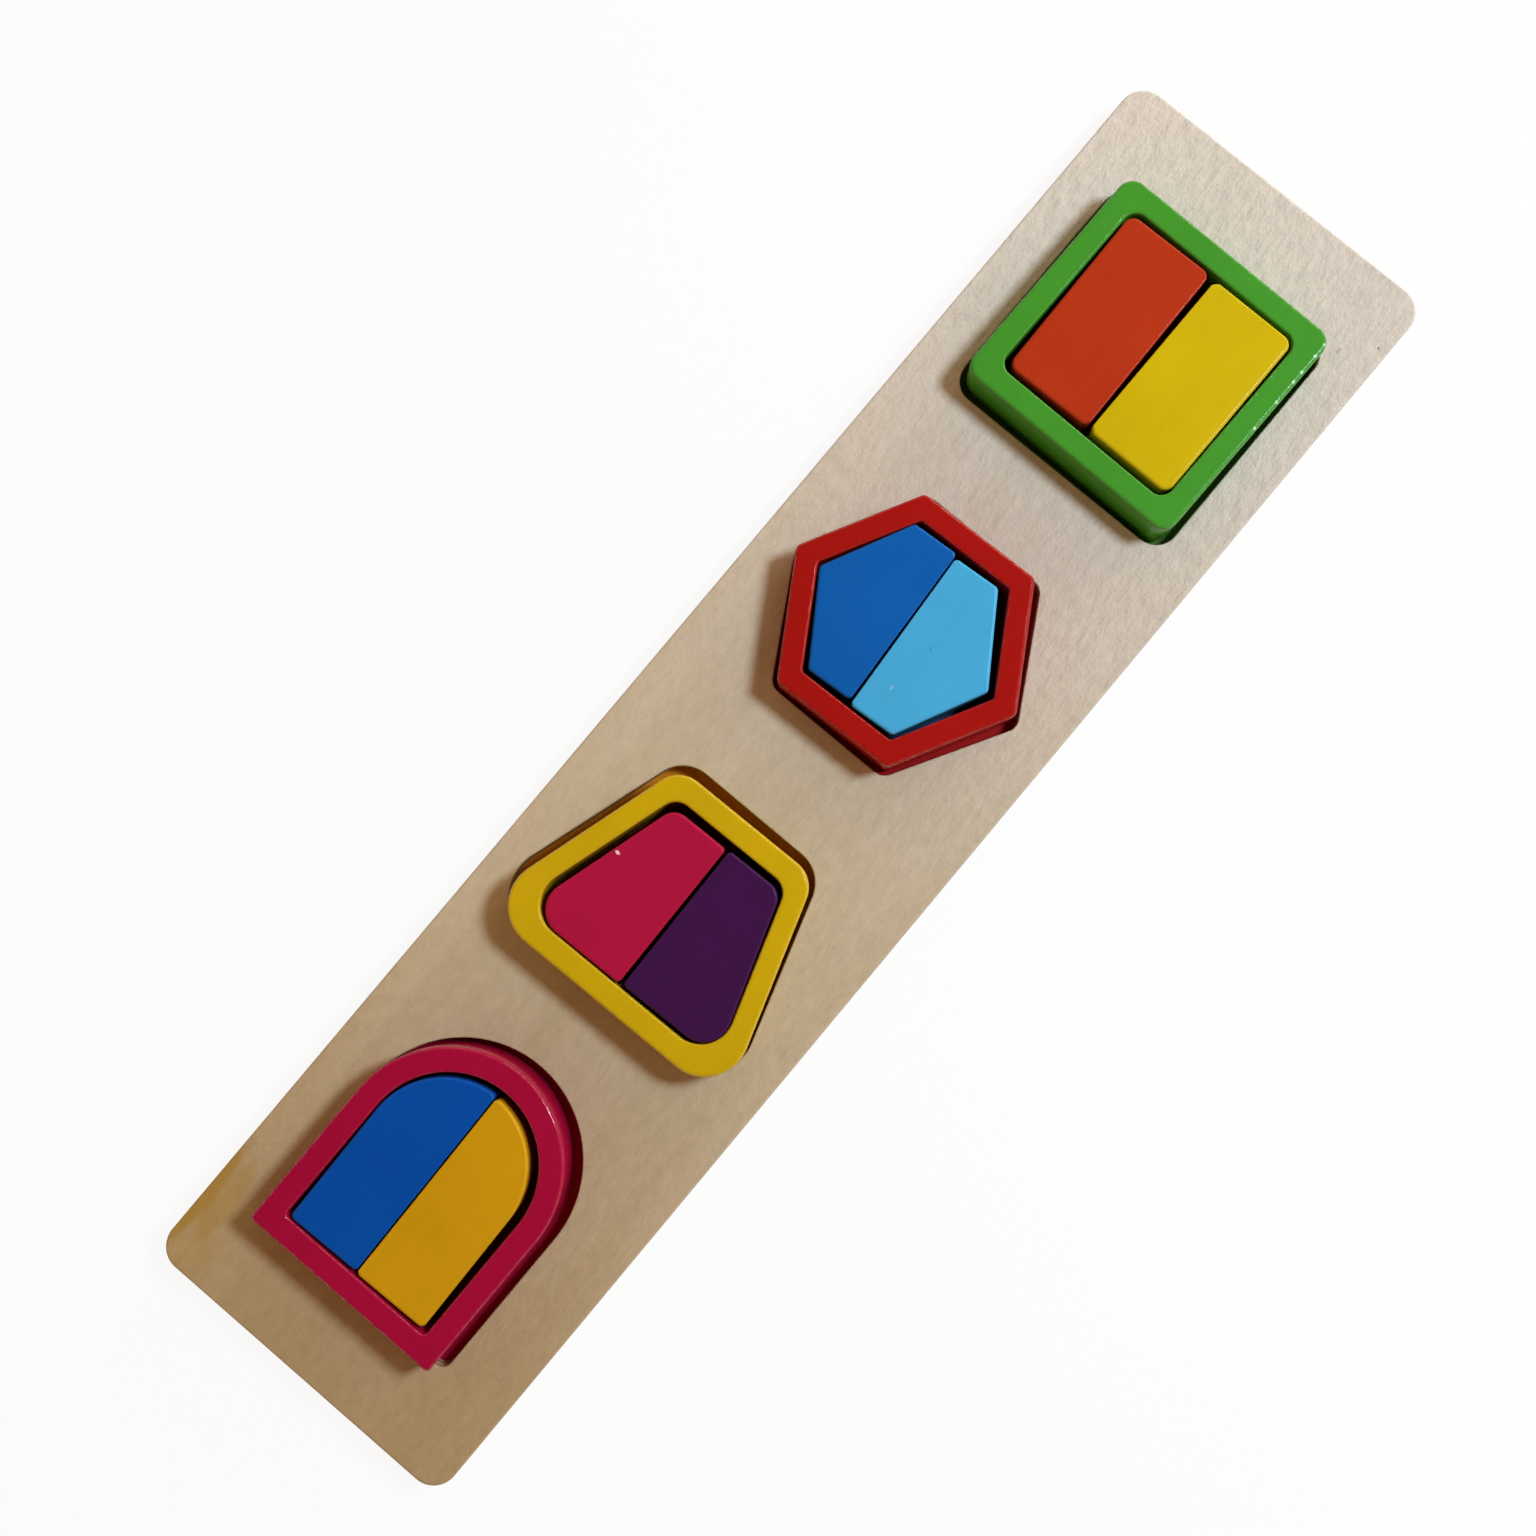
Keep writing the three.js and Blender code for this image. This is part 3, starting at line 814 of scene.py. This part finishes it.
class MatchingBoardPaint(PropertyGroup):
    """Colours and finish of the painted frames and halves."""

    green_paint: swatch("Green frame", "428F2B")
    orange_paint: swatch("Orange half", "AD3417")
    yellow_paint: swatch("Yellow half", "C4AA0D")
    red_paint: swatch("Red frame", "9F1511")
    dark_blue_paint: swatch("Dark blue half", "115AA8")
    light_blue_paint: swatch("Light blue half", "46A5D3")
    golden_paint: swatch("Yellow frame", "C5A30F")
    crimson_paint: swatch("Crimson half", "AA173E")
    purple_paint: swatch("Purple half", "3D1646")
    magenta_paint: swatch("Magenta frame", "A20E38")
    blue_paint: swatch("Blue half", "094DA6")
    amber_paint: swatch("Amber half", "C99511")
    bare_wood: swatch("Bare wood under the paint", "D9C39A")
    chip: swatch("Chipped spots", "E4DAD2")
    grime: swatch("Grime", "2A5A70")
    # Painted glints: the colour of the pale spots that stand in for highlights on the green frame
    bead: swatch("Painted glints", "C4F0C4")
    wear: share_property("Edge wear", "How far the paint has worn off the edges", 0.02)
    satin: share_property("Satin", "Roughness of the paint", 0.17)
    floor: share_property("Floor", "Roughness of the paint on the floors of the recesses", 0.55)
    frame_sheen: share_property("Frame sheen", "How strongly the frames' paint mirrors light", 0.09)
    half_sheen: share_property("Half sheen", "How strongly the halves' paint mirrors light", 0.07)
    frame_round: length_property("Frame round", "Radius of the frames' outer edges", 1.05 * MM)
    opening_round: length_property("Opening round", "Radius of the frames' inner edges", 0.8 * MM)
    half_round: length_property("Half round", "Radius of the halves' edges", 0.85 * MM)
    # Painted shade: tints that darken and warm the paint on the recess floors, standing in for the shade
    # and coloured bounce light down there
    floor_tint: swatch("Tint on the floors round the frames", "FFC0D8")
    deep_tint: swatch("Tint on the floors under the halves", "A67E90")


class MatchingBoardStage(PropertyGroup):
    """Light and floor."""

    lamp_colour: swatch("Lamp", "DBEFFF")
    lamp_power: power_property("Lamp power", "Power of the soft lamp", 10.2)
    window_colour: swatch("Window", "FFF2E0")
    window_power: power_property("Window power", "Power of the wide window beyond the square end", 11.0)
    horizon: swatch("Horizon", "DDD8D0")
    sky: swatch("Sky", "B8936C")
    overhead: swatch("Overhead", "6A4A30")
    floor: swatch("Floor", "E9E7E4")


# Operators


def make_painted(nodes, rounds, sawn=NOT_SAWN):
    """Makes painted pieces, with a radius for the edges of each of their outlines."""
    for node in nodes:
        low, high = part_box(node)
        walls = []
        for outline, radius in zip(wall_outlines(node), rounds):
            walls.append((fine_outline(outline, PAINTED_STEP), wall_rows(low.z, high.z, radius, radius)))
        piece = loft(f"painted_{node}", walls, sawn=sawn)
        settle(piece, node, paint_material(slot_of(node)))


def recess_floors(recesses):
    """The floor of each recess as (outline, frame's opening, line between the halves), and their paints."""
    settings = bpy.context.scene.matching_board_paint
    floors = []
    paints = []
    for ring, upper, lower in RECESSES:
        around, opening = wall_outlines(ring)
        middle = outline_middle(around)
        recess = min(recesses, key=lambda outline: (outline_middle(outline) - middle).length)
        split = (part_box(upper)[0].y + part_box(lower)[1].y) / 2
        floors.append((recess, opening, split))
        # The floors' tints are painted shade for the depth of the recesses
        paints.append(paint_material(slot_of(ring), "floor", settings.floor_tint))
        paints += [paint_material(slot_of(half), "floor", settings.deep_tint) for half in (upper, lower)]
    return floors, paints


class MakePanels(Operator):
    """Make the birch deck with its four recesses and the back under it"""

    bl_idname = "matching_board.make_panels"
    bl_label = "Birch Panels"

    def execute(self, context):
        settings = context.scene.matching_board_wood
        low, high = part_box(DECK)
        outer, *recesses = wall_outlines(DECK)
        outer_rows = wall_rows(low.z, high.z, GLUE_LINE, settings.board_round)
        inner_rows = wall_rows(low.z, high.z, GLUE_LINE, settings.cutout_ease)
        walls = [(fine_outline(outer, BOARD_STEP), outer_rows)]
        walls += [(fine_outline(recess, BOARD_STEP), inner_rows) for recess in recesses]
        birch = birch_material(slot_of(DECK), settings.pale, settings.warm, settings.toasted, DECK_MARKS)
        settle(loft("sanded_top_panel", walls), DECK, birch)
        low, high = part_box(BACK)
        rows = wall_rows(low.z, high.z, settings.board_round, GLUE_LINE)
        walls = [(fine_outline(wall_outlines(BACK)[0], BOARD_STEP), rows)]
        birch = birch_material(slot_of(BACK), settings.warm, settings.back, settings.toasted, ())
        floors, paints = recess_floors(recesses)
        settle(loft("sanded_base_panel", walls, floors), BACK, birch, *paints)
        return {"FINISHED"}


class MakeFrames(Operator):
    """Make the four painted frames"""

    bl_idname = "matching_board.make_frames"
    bl_label = "Painted Frames"

    def execute(self, context):
        settings = context.scene.matching_board_paint
        make_painted(FRAMES, (settings.frame_round, settings.opening_round))
        return {"FINISHED"}


class MakeHalves(Operator):
    """Make the eight painted halves inside the frames"""

    bl_idname = "matching_board.make_halves"
    bl_label = "Painted Halves"

    def execute(self, context):
        rounds = (context.scene.matching_board_paint.half_round,)
        make_painted(UPPER_HALVES, rounds, Vector((0, 1)))
        make_painted(LOWER_HALVES, rounds, Vector((0, -1)))
        return {"FINISHED"}


class MakeStage(Operator):
    """Make the pale floor, the soft light and the camera"""

    bl_idname = "matching_board.make_stage"
    bl_label = "Floor, Light and Camera"

    def execute(self, context):
        settings = context.scene.matching_board_stage
        make_floor(settings)
        make_light(settings)
        make_camera()
        context.scene.view_settings.view_transform = "Standard"
        return {"FINISHED"}


def background_rays(tree):
    """1 where the camera sees the background, by itself or in a mirror or through glass."""
    light_path = put(tree, "ShaderNodeLightPath").outputs
    seen = calc(tree, "MAXIMUM", light_path["Is Camera Ray"], light_path["Is Glossy Ray"])
    return calc(tree, "MAXIMUM", seen, light_path["Is Transmission Ray"])


def make_floor(settings):
    """A wide pale floor under the board, white to the camera apart from the board's shadow."""
    shape = bmesh.new()
    bmesh.ops.create_grid(shape, x_segments=FLOOR_CUTS, y_segments=FLOOR_CUTS, size=FLOOR_REACH)
    mesh = bpy.data.meshes.new("pale_floor")
    shape.to_mesh(mesh)
    shape.free()
    floor = bpy.data.objects.new("pale_floor", mesh)
    bpy.context.scene.collection.objects.link(floor)
    material, tree, shader = fresh_material("pale_floor")
    here = place_in_mm(tree)
    mottle = remap(tree, cloud(tree, here, *FLOOR_CLOUDS), *FLOOR_MOTTLE)
    tint = blend_colours(tree, mottle, opaque(settings.floor), WHITE)
    tree.links.new(tint, shader.inputs["Base Color"])
    shader.inputs["Roughness"].default_value = FLOOR_ROUGHNESS
    away = put(tree, "ShaderNodeVectorMath", {0: here}, operation="LENGTH").outputs["Value"]
    white = remap(tree, ease(tree, away, FADE_FROM, FADE_TO), FLOOR_GLOW, 1.0)
    glow = put(tree, "ShaderNodeEmission", {"Color": WHITE, "Strength": 1.0})
    share = calc(tree, "MULTIPLY", background_rays(tree), white)
    mixed = put(tree, "ShaderNodeMixShader", {0: share, 1: shader.outputs[0], 2: glow.outputs[0]})
    ending = tree.nodes["Material Output"]
    tree.links.new(mixed.outputs[0], ending.inputs["Surface"])
    floor.data.materials.append(material)


def hang_light(name, place, colour, power):
    """An area light that faces the middle of the board."""
    light = bpy.data.lights.new(name, "AREA")
    light.energy = power
    light.color = colour
    holder = bpy.data.objects.new(name, light)
    holder.location = place
    holder.rotation_euler = (-Vector(place)).to_track_quat("-Z", "Y").to_euler()
    bpy.context.scene.collection.objects.link(holder)
    return light


def make_light(settings):
    """A soft lamp, a low window beyond the square end, and a sky that is pale low down and dim overhead."""
    lamp = hang_light("soft_lamp", LAMP_PLACE, settings.lamp_colour, settings.lamp_power)
    lamp.shape = "DISK"
    lamp.size = LAMP_ACROSS
    window = hang_light("low_window", WINDOW_PLACE, settings.window_colour, settings.window_power)
    window.shape = "RECTANGLE"
    window.size = WINDOW_WIDTH
    window.size_y = WINDOW_HEIGHT
    world = bpy.data.worlds.new("studio_sky")
    world.use_nodes = True
    tree = world.node_tree
    tree.nodes.clear()
    way = put(tree, "ShaderNodeTexCoord").outputs["Generated"]
    height = put(tree, "ShaderNodeSeparateXYZ", {0: way}).outputs["Z"]
    risen = ease(tree, height, *SKY_RISE)
    around = blend_colours(tree, risen, opaque(settings.horizon), opaque(settings.sky))
    lit = blend_colours(tree, ease(tree, height, *OVERHEAD_RISE), around, opaque(settings.overhead))
    backdrop = blend_colours(tree, ease(tree, height, *BACKDROP_RISE), WHITE, lit)
    colour = blend_colours(tree, background_rays(tree), lit, backdrop)
    sky = put(tree, "ShaderNodeBackground", {"Color": colour, "Strength": 1.0})
    ending = put(tree, "ShaderNodeOutputWorld")
    tree.links.new(sky.outputs[0], ending.inputs["Surface"])
    bpy.context.scene.world = world


def make_camera():
    """The camera at the photograph's place."""
    camera = bpy.data.cameras.new("photo_camera")
    camera.lens = CAMERA_LENS
    camera.sensor_width = CAMERA_SENSOR
    camera.clip_start = CAMERA_NEAR
    holder = bpy.data.objects.new("photo_camera", camera)
    holder.location = CAMERA_PLACE
    holder.rotation_euler = [math.radians(turn) for turn in CAMERA_TURN]
    bpy.context.scene.collection.objects.link(holder)
    bpy.context.scene.camera = holder


class MatchingBoardPanel(Panel):
    """Buttons that build the board, and its sizes and colours"""

    bl_idname = "VIEW3D_PT_matching_board"
    bl_label = "Colour Matching Board"
    bl_space_type = "VIEW_3D"
    bl_region_type = "UI"
    bl_category = "Matching Board"

    def draw(self, context):
        for operator in OPERATORS:
            self.layout.operator(operator.bl_idname)
        for title in SETTINGS:
            settings = getattr(context.scene, title)
            box = self.layout.box()
            for name in settings.__annotations__:
                box.prop(settings, name)


SETTINGS = {
    "matching_board_wood": MatchingBoardWood,
    "matching_board_paint": MatchingBoardPaint,
    "matching_board_stage": MatchingBoardStage,
}
OPERATORS = (MakePanels, MakeFrames, MakeHalves, MakeStage)


def register():
    for name, settings in SETTINGS.items():
        bpy.utils.register_class(settings)
        setattr(bpy.types.Scene, name, PointerProperty(type=settings))
    for operator in OPERATORS:
        bpy.utils.register_class(operator)
    bpy.utils.register_class(MatchingBoardPanel)


def unregister():
    bpy.utils.unregister_class(MatchingBoardPanel)
    for operator in reversed(OPERATORS):
        bpy.utils.unregister_class(operator)
    for name, settings in reversed(SETTINGS.items()):
        delattr(bpy.types.Scene, name)
        bpy.utils.unregister_class(settings)


def main():
    register()
    bpy.ops.matching_board.make_panels()
    bpy.ops.matching_board.make_frames()
    bpy.ops.matching_board.make_halves()
    bpy.ops.matching_board.make_stage()


if __name__ == "__main__":
    main()
